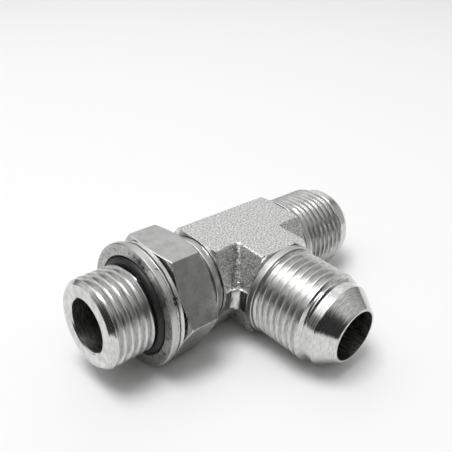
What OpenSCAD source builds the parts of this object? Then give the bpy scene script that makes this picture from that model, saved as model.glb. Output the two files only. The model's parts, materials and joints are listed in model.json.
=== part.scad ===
// Run tee for hydraulic tube: a forged body with two 37 degree flare ends and
// one adjustable parallel-thread stud end with its lock nut and seal pack.
// The run lies along X, the branch points along -Y, and the origin is where
// the two bores cross. Distances along an end are counted from that crossing.

/* [Forging] */
// Distance between the two broad flats
flat_height = 22.4; // [21.6:0.1:23.6]
// Width of the broad flat along the run
run_flat_w = 13.4; // [11:0.1:15]
// Width of the run at the parting line
run_parting_w = 24.2; // [23.2:0.1:26]
// Width of the broad flat along the branch
branch_flat_w = 14.2; // [12:0.1:16]
// Width of the branch at the parting line
branch_parting_w = 23.0; // [23:0.1:26]
// Height of the upright band that the trimming tool leaves at the parting line
trim_band = 3.6; // [2:0.1:6]
// Radius of the die's round along the edges of the broad flats
edge_round = 0.8; // [0.3:0.1:1.2]
// Crossing to the shoulders that face along the run
run_shoulder = 14.7; // [14:0.1:16.6]
// Crossing to the shoulder of the branch
branch_shoulder = 15.1; // [14:0.1:16.6]
// Fillet in each crotch at the broad flat
crotch_fillet_flat = 0.8; // [0.5:0.1:1.4]
// Fillet in each crotch at the parting line
crotch_fillet_parting = 2.0; // [1.5:0.1:2.4]
// Depth that the trimming punch cut past the parting line in each crotch
crotch_cut = 0.5; // [0.3:0.1:0.8]
// Radius of the punch's corner in the crotch
crotch_cut_r = 1.2; // [0.8:0.1:2]
// Radius where the turned chamfer of each shoulder starts
shoulder_chamfer_r = 12.3; // [11.8:0.1:12.8]
// Angle of that chamfer to the shoulder's face
shoulder_chamfer_angle = 30; // [20:1:40]

/* [Flare ends] */
// Crossing to the mouth of the flare end on the run
run_reach = 38.0; // [36:0.1:44]
// Crossing to the mouth of the flare end on the branch
branch_reach = 38.0; // [36:0.1:44]
// Outside diameter of the flare thread, seven-eighths of an inch
flare_thread_d = 22.225; // [22.225:0.005:22.3]
// Diameter of the straight land between the thread and the cone
flare_land_d = 20.0; // [19:0.1:20.6]
// Length of that land
flare_land_len = 2.3; // [1.5:0.1:3.5]
// Angle of the sealing cone to its axis
flare_cone_angle = 37; // [36:0.5:38]
// Width of the flat rim round the mouth
flare_rim = 0.5; // [0.2:0.1:1]
// Bore of the flare ends
flare_bore_d = 12.5; // [10:0.1:13]

/* [Collars] */
// Width of the relief groove between a shoulder and its collar
relief_w = 0.3; // [0.2:0.05:0.5]
// Depth of that groove below the collar
relief_depth = 0.5; // [0.2:0.1:0.8]
// Diameter of the plain collar behind each flare thread
flare_collar_d = 23.0; // [22.6:0.1:24]
// Length of that collar
flare_collar_len = 1.5; // [1:0.1:2.5]
// Diameter of the plain collar behind the lock nut's thread
stud_collar_d = 22.0; // [21.2:0.1:22.4]
// Length of that collar
stud_collar_len = 1.5; // [1:0.1:2]
// Diameter in the groove where the lock nut's thread runs out
runout_d = 19.6; // [18.8:0.1:20]
// Length of that groove
runout_len = 0.8; // [0.5:0.1:1.2]

/* [Stud end] */
// Crossing to the nose of the stud
stud_reach = 44.4; // [43:0.1:50]
// Outside diameter of the parallel pipe thread, half-inch size
stud_thread_d = 20.955; // [20.9:0.005:21]
// Length of the port thread, nose chamfer and rear slope included
port_thread_len = 11.3; // [10:0.1:14]
// Angle to the axis of the slope that ends the port thread at the neck
port_rear_angle = 60; // [45:1:70]
// Diameter of the plain neck that carries the seal pack
neck_d = 18.0; // [17:0.1:18.6]
// Length of the neck
neck_len = 7.9; // [7.6:0.1:9]
// Width of the chamfer at the nose
nose_chamfer = 1.05; // [0.6:0.05:1.4]
// Bore of the stud end
stud_bore_d = 12.5; // [10:0.1:13]
// Chamfer round the stud's bore
bore_chamfer = 0.3; // [0.1:0.1:0.6]

/* [Seal pack] */
// Setback of the retaining ring's front face from the neck's front end
ring_setback = 0.6; // [0.5:0.1:1.2]
// Width of the retaining ring, from its hole to its rim
ring_w = 2.75; // [2:0.05:3.5]
// Gap between the sealing ring and the hole of the retaining ring round it
ring_hole_gap = 0.28; // [0.2:0.02:0.5]
// Thickness of the retaining ring
ring_t = 1.8; // [1.4:0.1:2.4]
// Outside diameter of the backup washer
washer_d = 28.6; // [27:0.1:30]
// Thickness of the backup washer
washer_t = 2.0; // [1.4:0.1:2.6]
// Chamfer on the rims of the ring and the washer
rim_chamfer = 0.3; // [0.1:0.1:0.5]
// Thickness of the rubber sealing ring's round section
seal_section = 2.62; // [2.2:0.02:2.8]
// Clearance between the neck and what slides on it, on the radius
neck_gap = 0.1; // [0.05:0.01:0.2]
// Gap between the sealing ring and the washer's face
seal_gap = 0.05; // [0.02:0.01:0.1]

/* [Lock nut] */
// Lock nut width across its flats
nut_flats = 27.0; // [26:0.1:30]
// Thickness of the lock nut
nut_t = 9.9; // [7:0.1:10.5]
// Angle of the corner chamfer at the nut's rear face
nut_rear_angle = 30; // [20:1:35]
// Diameter where that chamfer starts
nut_rear_d = 25.8; // [24.5:0.1:26]
// Angle of the corner chamfer at the nut's front face
nut_front_angle = 15; // [10:1:30]
// Diameter where that chamfer starts
nut_front_d = 23.8; // [23:0.1:26]
// Turn of the nut about the run, from a flat facing up
nut_turn = -1.5; // [-30:0.5:30]
// Running clearance between nut and stud thread, on the radius
nut_gap = 0.05; // [0.03:0.01:0.1]

/* [Hidden] */
$fn = 96;
eps = 0.01;
edge_steps = 3;
fillet_steps = 6;
fillet_sink = 0.02;

// The parting line is at half height, and the broad flats lie above and below it
flat_z = flat_height / 2;
band_z = trim_band / 2;

// Stations along the stud end
stud_thread_r = stud_thread_d / 2;
neck_r = neck_d / 2;
port_rear = stud_reach - port_thread_len;
neck_rear = port_rear - neck_len;
neck_drop = stud_thread_r - neck_r;
port_slope_len = neck_drop / tan(port_rear_angle);
stud_collar_end = run_shoulder + relief_w + stud_collar_len;
lock_thread_start = stud_collar_end + runout_len;

// Stations along a flare end, counted back from its mouth
flare_mouth_r = flare_bore_d / 2 + flare_rim;
flare_cone_len = (flare_land_d / 2 - flare_mouth_r) / tan(flare_cone_angle);
flare_chamfer = (flare_thread_d - flare_land_d) / 2;

// The seal pack stacks back from the neck's front end to the nut's front face
washer_front = port_rear - ring_setback - ring_t;
nut_seat = washer_front - washer_t;
slide_hole_r = neck_r + neck_gap;
seal_mid_r = slide_hole_r + seal_section / 2;
ring_hole_r = slide_hole_r + seal_section + ring_hole_gap;
seal_mid = washer_front + seal_gap + seal_section / 2;

// Turned ends run this far into the forging, within its bored core
root_station = max(flare_bore_d, stud_bore_d) / 2;
root_r = min(flat_z, neck_r + 0.5);

nut_corner_r = nut_flats / 2 / cos(30);
nut_bore_r = stud_thread_r + nut_gap;
nut_rear_drop = (nut_corner_r - nut_rear_d / 2) * tan(nut_rear_angle);
nut_front_drop = (nut_corner_r - nut_front_d / 2) * tan(nut_front_angle);

steel = [0.72, 0.72, 0.70];
forged = [0.66, 0.66, 0.65];
rubber = [0.08, 0.08, 0.08];

// Carries a profile turned about Z to each end's own direction
module along_run() { rotate([0, 90, 0]) children(); }
module along_stud() { rotate([0, -90, 0]) children(); }
module along_branch() { rotate([90, 0, 0]) children(); }

// One rounded corner of the section, from the broad flat to the drafted side
function flat_corner(flat_w, parting_w) =
    let(
        slope = atan2(flat_z - band_z, (parting_w - flat_w) / 2),
        centre_x = flat_w / 2 - edge_round * tan(slope / 2),
        centre_z = flat_z - edge_round
    )
    [for (i = [0:edge_steps])
        let(a = slope * i / edge_steps)
        [centre_x + edge_round * sin(a), centre_z + edge_round * cos(a)]];

// The side of the section from the upper flat down to the lower one
function drafted_side(flat_w, parting_w) =
    let(upper = concat(flat_corner(flat_w, parting_w), [[parting_w / 2, band_z]]))
    concat(upper, [for (i = [len(upper) - 1:-1:0]) [upper[i][0], -upper[i][1]]]);

// Section of the die's cavity, the same above and below the parting line: a broad
// flat, two drafted sides and the upright trimmed band
module drafted_section(flat_w, parting_w) {
    side = drafted_side(flat_w, parting_w);
    polygon(concat(side, [for (i = [len(side) - 1:-1:0]) [-side[i][0], side[i][1]]]));
}

// Room between two opposite shoulders, with the turned chamfer of each
module between_shoulders(shoulder) {
    outer_r = run_parting_w;
    chamfer_at = shoulder - (outer_r - shoulder_chamfer_r) * tan(shoulder_chamfer_angle);
    rotate_extrude()
        polygon([
            [0, -shoulder], [shoulder_chamfer_r, -shoulder], [outer_r, -chamfer_at],
            [outer_r, chamfer_at], [shoulder_chamfer_r, shoulder], [0, shoulder]
        ]);
}

module forged_run() {
    intersection() {
        translate([-run_shoulder, 0, 0])
            rotate([90, 0, 90])
                linear_extrude(height = 2 * run_shoulder)
                    drafted_section(run_flat_w, run_parting_w);
        along_run() between_shoulders(run_shoulder);
    }
}

module forged_branch() {
    intersection() {
        rotate([90, 0, 0])
            linear_extrude(height = branch_shoulder)
                drafted_section(branch_flat_w, branch_parting_w);
        along_branch() between_shoulders(branch_shoulder);
    }
}

// Outline of the crotch fillet at one height: a point inside the corner, then the arc
// between the two drafted sides, sunk a little into both
function fillet_outline(z) =
    let(
        share = (flat_z - abs(z)) / (flat_z - band_z),
        corner_x = (branch_flat_w + (branch_parting_w - branch_flat_w) * share) / 2,
        corner_y = -(run_flat_w + (run_parting_w - run_flat_w) * share) / 2,
        r = crotch_fillet_flat + (crotch_fillet_parting - crotch_fillet_flat) * share,
        inside = edge_round + eps
    )
    concat(
        [[corner_x - inside, corner_y + inside, z]],
        [for (i = [0:fillet_steps])
            let(a = 90 * i / fillet_steps)
            [corner_x + r - (r + fillet_sink) * sin(a), corner_y - r + (r + fillet_sink) * cos(a), z]]
    );

// Fillet of the right crotch, from just below one flat to just above the other
module crotch_fillet() {
    top = flat_z - edge_round;
    levels = [-top, -band_z, band_z, top];
    count = fillet_steps + 2;
    rings = [for (z = levels) each fillet_outline(z)];
    last = (len(levels) - 1) * count;
    polyhedron(
        points = rings,
        faces = concat(
            [[for (i = [count - 1:-1:0]) i]],
            [for (k = [0:len(levels) - 2], i = [0:count - 1])
                let(next = (i + 1) % count)
                [k * count + i, k * count + next, (k + 1) * count + next, (k + 1) * count + i]],
            [[for (i = [0:count - 1]) last + i]]
        )
    );
}

// What the trimming punch took out of the right crotch, with its own round corner
module crotch_punch() {
    x = branch_parting_w / 2 - crotch_cut;
    y = run_parting_w / 2 - crotch_cut;
    past_x = run_shoulder - x + 1;
    past_y = branch_shoulder - y + 1;
    translate([x, -y, -flat_z]) {
        translate([crotch_cut_r, -past_y, 0]) cube([past_x, past_y, flat_height]);
        translate([0, -past_y, 0]) cube([past_x, past_y - crotch_cut_r, flat_height]);
        translate([crotch_cut_r, -crotch_cut_r, 0]) cylinder(h = flat_height, r = crotch_cut_r);
    }
}

// What is made for the right crotch, and its mirror image in the left one
module both_crotches() {
    children();
    mirror([1, 0, 0]) children();
}

// Outside of a flare end: collar, thread cylinder, land and sealing cone
module flare_end(shoulder, reach) {
    cone_back = reach - flare_cone_len;
    land_back = cone_back - flare_land_len;
    collar_back = shoulder + relief_w;
    collar_front = collar_back + flare_collar_len;
    collar_r = flare_collar_d / 2;
    rotate_extrude()
        polygon([
            [0, root_station], [root_r, root_station], [root_r, shoulder],
            [collar_r - relief_depth, shoulder], [collar_r - relief_depth, collar_back],
            [collar_r, collar_back], [collar_r, collar_front],
            [flare_thread_d / 2, collar_front],
            [flare_thread_d / 2, land_back - flare_chamfer],
            [flare_land_d / 2, land_back],
            [flare_land_d / 2, cone_back],
            [flare_mouth_r, reach], [0, reach]
        ]);
}

// Outside of the stud end: collar, run-out groove, lock thread, neck and port thread
module stud_end() {
    collar_back = run_shoulder + relief_w;
    collar_r = stud_collar_d / 2;
    rotate_extrude()
        polygon([
            [0, root_station], [root_r, root_station], [root_r, run_shoulder],
            [collar_r - relief_depth, run_shoulder], [collar_r - relief_depth, collar_back],
            [collar_r, collar_back], [collar_r, stud_collar_end],
            [runout_d / 2, stud_collar_end], [runout_d / 2, lock_thread_start],
            [stud_thread_r, lock_thread_start + (stud_thread_d - runout_d) / 2],
            [stud_thread_r, neck_rear - neck_drop], [neck_r, neck_rear],
            [neck_r, port_rear], [stud_thread_r, port_rear + port_slope_len],
            [stud_thread_r, stud_reach - nose_chamfer],
            [stud_thread_r - nose_chamfer, stud_reach], [0, stud_reach]
        ]);
}

// Drilled way from the crossing out of one end, with a chamfer at its mouth
module drilled_way(bore_d, reach, chamfer) {
    cylinder(h = reach + eps, d = bore_d);
    translate([0, 0, reach - chamfer])
        cylinder(h = chamfer + eps, r1 = bore_d / 2, r2 = bore_d / 2 + chamfer + eps);
}

module tee_body() {
    color(forged)
        difference() {
            union() {
                difference() {
                    union() {
                        forged_run();
                        forged_branch();
                        both_crotches() crotch_fillet();
                    }
                    both_crotches() crotch_punch();
                }
                along_run() flare_end(run_shoulder, run_reach);
                along_branch() flare_end(branch_shoulder, branch_reach);
                along_stud() stud_end();
            }
            along_run() drilled_way(flare_bore_d, run_reach, 0);
            along_branch() drilled_way(flare_bore_d, branch_reach, 0);
            along_stud() drilled_way(stud_bore_d, stud_reach, bore_chamfer);
        }
}

// Hexagon bar cut to length, its corners turned off at both faces, then bored
module lock_nut() {
    color(steel)
        translate([-nut_seat, 0, 0]) rotate([nut_turn, 0, 0]) rotate([0, 90, 0])
            difference() {
                intersection() {
                    rotate([0, 0, 30]) cylinder(h = nut_t, r = nut_corner_r, $fn = 6);
                    rotate_extrude()
                        polygon([
                            [0, 0], [nut_front_d / 2, 0], [nut_corner_r, nut_front_drop],
                            [nut_corner_r, nut_t - nut_rear_drop],
                            [nut_rear_d / 2, nut_t], [0, nut_t]
                        ]);
                }
                translate([0, 0, -eps]) cylinder(h = nut_t + 2 * eps, r = nut_bore_r);
            }
}

// Flat turned ring with chamfered rims, its back face at the given station
module flat_ring(back, thickness, outer_r, hole_r) {
    along_stud()
        rotate_extrude()
            polygon([
                [hole_r, back], [outer_r - rim_chamfer, back],
                [outer_r, back + rim_chamfer],
                [outer_r, back + thickness - rim_chamfer],
                [outer_r - rim_chamfer, back + thickness],
                [hole_r, back + thickness]
            ]);
}

module backup_washer() {
    color(steel) flat_ring(nut_seat, washer_t, washer_d / 2, slide_hole_r);
}

module retaining_ring() {
    color(steel)
        flat_ring(washer_front, ring_t, ring_hole_r + ring_w, ring_hole_r);
}

// Rubber ring of round section, stretched over the neck
module o_ring() {
    color(rubber)
        along_stud()
            translate([0, 0, seal_mid])
                rotate_extrude()
                    translate([seal_mid_r, 0]) circle(d = seal_section);
}

tee_body();
lock_nut();
backup_washer();
retaining_ring();
o_ring();
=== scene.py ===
import itertools
import json
import math
import bmesh
import bpy
import numpy as np
from mathutils import Matrix, Vector


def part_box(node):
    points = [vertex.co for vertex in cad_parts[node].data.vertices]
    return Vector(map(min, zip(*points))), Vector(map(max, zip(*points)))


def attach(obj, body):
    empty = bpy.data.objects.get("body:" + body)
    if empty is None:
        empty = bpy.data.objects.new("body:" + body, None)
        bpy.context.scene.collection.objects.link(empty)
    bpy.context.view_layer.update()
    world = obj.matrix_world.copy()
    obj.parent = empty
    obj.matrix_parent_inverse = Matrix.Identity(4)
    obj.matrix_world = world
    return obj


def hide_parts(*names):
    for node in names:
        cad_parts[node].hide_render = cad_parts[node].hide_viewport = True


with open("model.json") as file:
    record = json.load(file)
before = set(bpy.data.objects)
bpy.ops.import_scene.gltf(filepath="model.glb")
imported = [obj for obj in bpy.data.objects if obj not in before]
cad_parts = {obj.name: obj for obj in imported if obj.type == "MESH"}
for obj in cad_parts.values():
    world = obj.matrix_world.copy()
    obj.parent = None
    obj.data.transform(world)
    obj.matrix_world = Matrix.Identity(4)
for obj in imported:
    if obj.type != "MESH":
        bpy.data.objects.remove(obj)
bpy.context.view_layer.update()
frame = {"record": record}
mm = 0.001
fullTurn = 2 * math.pi
mounts = {mount["name"]: mount for mount in frame["record"]["mounts"]}


# Numbers from the frame, all in millimetres from where the two bores cross
def nodeBox(name):
    low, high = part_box(name)
    return np.array(low) / mm, np.array(high) / mm


def mountRadius(name):
    return mounts[name]["dims"]["r_mm"]


bodyLow, bodyHigh = nodeBox("tee_body")
nutLow, nutHigh = nodeBox("lock_nut")
washerLow, washerHigh = nodeBox("backup_washer")
ringLow, ringHigh = nodeBox("retaining_ring")
sealLow, sealHigh = nodeBox("o_ring")
threadPitch = 25.4 / 14  # fourteen threads to the inch on all three ends
rowsPerPitch = 12


# Small tools for shapes

# Directions of each end: outwards, then two across it whose order makes one formula
# give right-hand threads on every end
endAxes = {
    "run": ((1, 0, 0), (0, 1, 0), (0, 0, 1)),
    "stud": ((-1, 0, 0), (0, 0, 1), (0, 1, 0)),
    "branch": ((0, -1, 0), (1, 0, 0), (0, 0, 1)),
}


def slopeOf(degrees):
    return math.tan(math.radians(degrees))


def smoothStep(value, low, high):
    share = np.clip((value - low) / (high - low), 0, 1)
    return share * share * (3 - 2 * share)


# Soft bumps from -1 to 1: random values on a cubic lattice, blended inside its cells.
# Each octave is half as coarse and half as strong as the one before.
def latticeNoise(points, cell, seed, octaves=1):
    table = np.random.default_rng(seed).uniform(-1, 1, 4096)
    total = np.zeros(points.shape[:-1])
    for octave in range(octaves):
        place = points * 2 ** octave / cell + 37.3 * octave
        corner = np.floor(place).astype(np.int64)
        share = place - corner
        share = share * share * (3 - 2 * share)
        for step in itertools.product((0, 1), repeat=3):
            key = (corner + step) * np.array([73856093, 19349663, 83492791])
            value = table[(key[..., 0] ^ key[..., 1] ^ key[..., 2]) % 4096]
            weight = np.where(np.array(step) == 1, share, 1 - share).prod(-1)
            total = total + value * weight * 0.5 ** octave
    return total


# A grid of points in millimetres becomes one skin of quads whose faces look outwards
def skinObject(name, points, joinRows=False):
    rows, columns = points.shape[:2]
    index = np.arange(rows * columns).reshape(rows, columns)
    if joinRows:
        index = np.vstack([index, index[:1]])
    quads = np.stack([index[:-1, :-1], index[1:, :-1], index[1:, 1:], index[:-1, 1:]], -1)
    mesh = bpy.data.meshes.new(name)
    mesh.from_pydata(points.reshape(-1, 3) * mm, [], quads.reshape(-1, 4).tolist())
    shape = bmesh.new()
    shape.from_mesh(mesh)
    bmesh.ops.remove_doubles(shape, verts=shape.verts, dist=0.0003 * mm)
    bmesh.ops.recalc_face_normals(shape, faces=shape.faces)
    shape.to_mesh(mesh)
    shape.free()
    piece = bpy.data.objects.new(name, mesh)
    bpy.context.scene.collection.objects.link(piece)
    return piece


# Points on an end: so far out along its axis, at a radius and an angle round it
def aroundEnd(end, station, radius, angle):
    outwards, sideways, upwards = (np.array(axis, float) for axis in endAxes[end])
    station, radius, angle = np.broadcast_arrays(station, radius, angle)
    aside, above = radius * np.cos(angle), radius * np.sin(angle)
    return station[..., None] * outwards + (aside[..., None] * sideways + above[..., None] * upwards)


# A turned outline: its corners, given as station and radius, each with a small round
# of the given width, carried once round the axis
def turnedRows(corners, angle, rounding=0.0, steps=3):
    corners = np.array(corners, float)
    if rounding > 0:
        before, here, after = corners[:-2], corners[1:-1], corners[2:]
        toBefore, toAfter = before - here, after - here
        lengthBefore = np.linalg.norm(toBefore, axis=1, keepdims=True)
        lengthAfter = np.linalg.norm(toAfter, axis=1, keepdims=True)
        cut = np.minimum(rounding, 0.45 * np.minimum(lengthBefore, lengthAfter))
        start = here + toBefore / lengthBefore * cut
        finish = here + toAfter / lengthAfter * cut
        share = np.linspace(0, 1, steps + 1)[None, :, None]
        curve = (1 - share) ** 2 * start[:, None] + 2 * share * (1 - share) * here[:, None]
        curve = curve + share ** 2 * finish[:, None]
        corners = np.vstack([corners[:1], curve.reshape(-1, 2), corners[-1:]])
    station = np.repeat(corners[:, :1], len(angle), 1)
    radius = np.repeat(corners[:, 1:], len(angle), 1)
    return station, radius


# How far a thread's surface lies below its crests, over one pitch: a trapezoid wave
# whose corners a running mean has rounded
def toothDrop(phase, tooth):
    samples = 720
    distance = threadPitch / 2 - np.abs(np.arange(samples) / samples - 0.5) * threadPitch
    flank = tooth["depth"] * slopeOf(tooth["flankAngle"])
    wave = np.clip((distance - tooth["crestFlat"] / 2) / flank, 0, 1) * tooth["depth"]
    width = max(1, round(tooth["rounding"] / threadPitch * samples))
    kernel = np.ones(width) / width
    padded = np.concatenate([wave[-width:], wave, wave[:width]])
    for _ in range(2):
        padded = np.convolve(padded, kernel, "same")
    wave = padded[width:-width]
    return np.interp(np.mod(phase, 1) * samples, np.arange(samples + 1), np.append(wave, wave[0]))


# Rows of a helix between two stations and how deep the thread is there. Each row climbs
# one pitch in a turn, so that crests and roots lie along rows, and stops at the ends,
# where the spare points fall together and are merged.
def helixRows(start, finish, angle, tooth, perPitch, firstAngle=0.0):
    turns = math.ceil((finish - start) / threadPitch) + 1
    climb = np.arange(turns * perPitch + 1)[:, None] / perPitch - 1 + (angle - firstAngle)[None] / fullTurn
    station = np.clip(start + threadPitch * climb, start, finish)
    return station, toothDrop(station / threadPitch - angle[None] / fullTurn, tooth)


# An outside thread, which its outline keeps under its chamfers
def threadRows(start, finish, angle, tooth, crestRadius, outline, fadeIn=0.0, fadeOut=0.0):
    station, drop = helixRows(start, finish, angle, tooth, rowsPerPitch)
    if fadeIn > 0:
        drop = drop * smoothStep(station, start, start + fadeIn)
    if fadeOut > 0:
        drop = drop * smoothStep(finish - station, 0.4 * fadeOut, 1.4 * fadeOut)
    stations, radii = np.array(outline, float).T
    radius = np.minimum(crestRadius - drop, np.interp(station, stations, radii))
    return station, radius


# Rows of a turned shape, one part after another, carried round an end's axis as a skin
def turnedObject(name, end, angle, *parts):
    station, radius = (np.vstack(rows) for rows in zip(*parts))
    return skinObject(name, aroundEnd(end, station, radius, angle))


# Joins or cuts solids with a modifier that is applied at once
def combine(piece, other, operation):
    modifier = piece.modifiers.new("combine", "BOOLEAN")
    modifier.operation = operation
    modifier.solver = "MANIFOLD"
    modifier.object = other
    applyModifiers(piece)
    bpy.data.objects.remove(other)


def applyModifiers(piece):
    depsgraph = bpy.context.evaluated_depsgraph_get()
    depsgraph.update()
    finished = bpy.data.meshes.new_from_object(piece.evaluated_get(depsgraph))
    piece.modifiers.clear()
    piece.data = finished


# Smooth shading that stays sharp over edges above the angle. Where asked, the large faces
# rule the normals, so that flats stay flat beside their small rounds.
def smoothShade(piece, angle, weighted=True):
    piece.data.polygons.foreach_set("use_smooth", np.ones(len(piece.data.polygons), bool))
    piece.data.set_sharp_from_angle(angle=math.radians(angle))
    if weighted:
        piece.modifiers.new("weight normals", "WEIGHTED_NORMAL").keep_sharp = True
        applyModifiers(piece)


# Where a piece's points lie, in millimetres
def pointPlaces(piece):
    place = np.empty(len(piece.data.vertices) * 3)
    piece.data.vertices.foreach_get("co", place)
    return place.reshape(-1, 3) / mm


# Numbers on the points of a piece, which its material reads by their names
def markPoints(piece, **marks):
    for name, value in marks.items():
        attribute = piece.data.attributes.new(name, "FLOAT", "POINT")
        attribute.data.foreach_set("value", value.astype(np.float32))


# Small tools for materials

# An sRGB hex colour as linear red, green, blue and one
def linearColour(hexText):
    parts = [int(hexText[place:place + 2], 16) / 255 for place in (0, 2, 4)]
    linear = [part / 12.92 if part <= 0.04045 else ((part + 0.055) / 1.055) ** 2.4 for part in parts]
    return linear + [1.0]


# Adds a node, sets its options and fills its inputs with links, hex colours or values
def addNode(tree, kind, inputs=None, **options):
    node = tree.nodes.new("ShaderNode" + kind)
    for name, value in options.items():
        setattr(node, name, value)
    for name, value in (inputs or {}).items():
        if isinstance(value, bpy.types.Node):
            value = next(socket for socket in value.outputs if socket.enabled)
        if isinstance(value, bpy.types.NodeSocket):
            tree.links.new(value, node.inputs[name])
        else:
            node.inputs[name].default_value = linearColour(value) if isinstance(value, str) else value
    return node


def newMaterial(name):
    material = bpy.data.materials.new(name)
    material.use_nodes = True
    material.node_tree.nodes.clear()
    return material, material.node_tree


# A new material, its tree and the place on the object that its noises read
def placedMaterial(name):
    material, tree = newMaterial(name)
    return material, tree, addNode(tree, "TexCoord").outputs["Object"]


# The shader at the end of a material, with what its nodes and values give it
def finishMaterial(material, inputs):
    shader = addNode(material.node_tree, "BsdfPrincipled", inputs)
    addNode(material.node_tree, "OutputMaterial", {"Surface": shader})
    return material


def finishMetal(material, colour, rough, bump):
    return finishMaterial(material, {
        "Metallic": 1, "Base Color": colour, "Roughness": rough, "Normal": bump})


# Maps a noise from its low to its high value onto the dark and the light of a finish
def colourSpread(tree, value, low, high, look):
    share = addNode(tree, "MapRange", {"Value": value, "From Min": low, "From Max": high})
    return addNode(tree, "Mix", {"Factor": share, 6: look["dark"], 7: look["light"]}, data_type="RGBA")


# Lays colours over a colour, each with its own share
def layered(tree, colour, *layers, how="MIX"):
    for share, over in layers:
        colour = addNode(tree, "Mix", {
            "Factor": share, 6: colour, 7: over}, data_type="RGBA", blend_type=how)
    return colour


# The numbers that the points of a piece carry
def readMarks(tree, *names):
    return [addNode(tree, "Attribute", attribute_name=name).outputs["Fac"] for name in names]


# Materials

forgingFinish = {
    "dark": "8c8c8a",
    "light": "f0f0ee",
    "roughness": 0.42,
    "gritMm": 0.4,  # size of the blasted grains, drawn about twice as coarse as real
    "gritDepthMm": 0.07,
    "speckMm": 0.55,  # bright specks of scale in the crotches
    "pitMm": 1.6,
    "pitDepthMm": 0.012,
    "scaleDepthMm": 0.16,  # roughness of the scale left in the crotches
    "scaleColour": "e8e8e6",
    "sootColour": "b0b0ae",  # painted shade that darkens the crotch's corner between the specks
    # painted highlight on the trimmed rims and the parting band, over their real burnish
    "rimColour": "fafaf8",
    "rimRoughness": 0.5,
}


# Drop-forged steel, shot blasted and zinc plated: sandy, coarser in the crotches, with painted
# shade in the crotches' corners and burnished rims along the trimmed edges under a painted highlight
def blastedForging():
    look = forgingFinish
    material, tree, place = placedMaterial("blasted zinc-plated forging")
    grit, pits, scale = [addNode(tree, "TexNoise", {
        "Vector": place, "Scale": 1 / (look[grain] * mm), "Detail": detail, "Roughness": rough,
    }) for grain, detail, rough in (("gritMm", 2, 0.6), ("pitMm", 4, 0.6), ("speckMm", 3, 0.7))]
    rim, valley = readMarks(tree, "rim", "valley")
    specks = addNode(tree, "MapRange", {"Value": scale, "From Min": 0.56, "From Max": 0.64})
    specks = addNode(tree, "Math", {0: specks, 1: valley}, operation="MULTIPLY")
    colour = colourSpread(tree, grit, 0.34, 0.66, look)
    # painted shade: the crotch's corner is darkened by multiplying in a grey
    colour = layered(tree, colour, (valley, look["sootColour"]), how="MULTIPLY")
    # painted highlight: the trimmed rims and the parting band are laid over in near white
    colour = layered(tree, colour, (specks, look["scaleColour"]), (rim, look["rimColour"]))
    rough = addNode(tree, "MapRange", {
        "Value": rim, "To Min": look["roughness"], "To Max": look["rimRoughness"]})
    depth = addNode(tree, "MapRange", {
        "Value": valley, "To Min": look["gritDepthMm"] * mm, "To Max": look["scaleDepthMm"] * mm})
    coarse = addNode(tree, "Bump", {"Height": pits, "Distance": look["pitDepthMm"] * mm})
    fine = addNode(tree, "Bump", {"Height": grit, "Normal": coarse, "Distance": depth})
    return finishMetal(material, colour, rough, fine)


turnedFinish = {
    "dark": "bebebc",
    "light": "dededc",
    # painted shade on the collars between forging and thread
    "collarColour": "b0b0ae",
    # painted highlight on the rounded edges of the collars
    "edgeColour": "f6f6f4",
    "roughness": 0.16,
    "dullRoughness": 0.36,
    "markMm": 0.4,  # spacing of the cutting tool's marks, drawn about twice as coarse as real
    "markDepthMm": 0.028,
    "tearMm": 1.4,  # length of the tears in them, drawn several times as long as real
    "tearDepthMm": 0.005,
}


# Turned steel, zinc plated: bright, with fine marks of the tool round its axis, painted shade on its
# collars and a painted highlight on their edges
def turnedSteel(name, axis, look):
    material, tree, place = placedMaterial(name)
    parts = addNode(tree, "SeparateXYZ", {"Vector": place}).outputs
    across = [parts[letter] for letter in "XYZ" if letter != axis]
    flat = addNode(tree, "CombineXYZ", {"X": across[0], "Y": across[1]})
    radius = addNode(tree, "VectorMath", {0: flat}, operation="LENGTH")
    profile = addNode(tree, "CombineXYZ", {"X": parts[axis], "Y": radius})
    marks = addNode(tree, "TexNoise", {
        "Vector": profile, "Scale": 1 / (look["markMm"] * mm), "Detail": 3}, noise_dimensions="2D")
    drawn = addNode(tree, "Mapping", {
        "Vector": place, "Scale": [8 if letter == axis else 1 for letter in "XYZ"]})
    tears = addNode(tree, "TexNoise", {"Vector": drawn, "Scale": 1 / (look["tearMm"] * mm), "Detail": 3})
    torn = addNode(tree, "Bump", {"Height": tears, "Distance": look["tearDepthMm"] * mm})
    bump = addNode(tree, "Bump", {"Height": marks, "Normal": torn, "Distance": look["markDepthMm"] * mm})
    dull, edgeHighlight = readMarks(tree, "dull", "edge")
    # painted shade on the collars, where dull is 1
    collarShade = addNode(tree, "MapRange", {"Value": dull, "From Min": 0.6})
    # painted highlight on the collars' rounded edges
    colour = layered(tree, colourSpread(tree, tears, 0.35, 0.65, look),
                     (collarShade, look["collarColour"]), (edgeHighlight, look["edgeColour"]))
    rough = addNode(tree, "MapRange", {
        "Value": dull, "To Min": look["roughness"], "To Max": look["dullRoughness"]})
    return finishMetal(material, colour, rough, bump)


boreFinish = {
    "dark": "6c6b68",
    "light": "bcbbb8",
    "collarColour": "bcbbb8",
    "edgeColour": "bcbbb8",
    "roughness": 0.36,
    "dullRoughness": 0.36,
    "markMm": 0.5,
    "markDepthMm": 0.03,
    "tearMm": 1.8,
    "tearDepthMm": 0.03,
}

shearedFinish = {
    "dark": "848482",
    "light": "dcdcda",
    "roughness": 0.26,
    "tearMm": 0.4,
    "tearDepthMm": 0.035,
}


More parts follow.
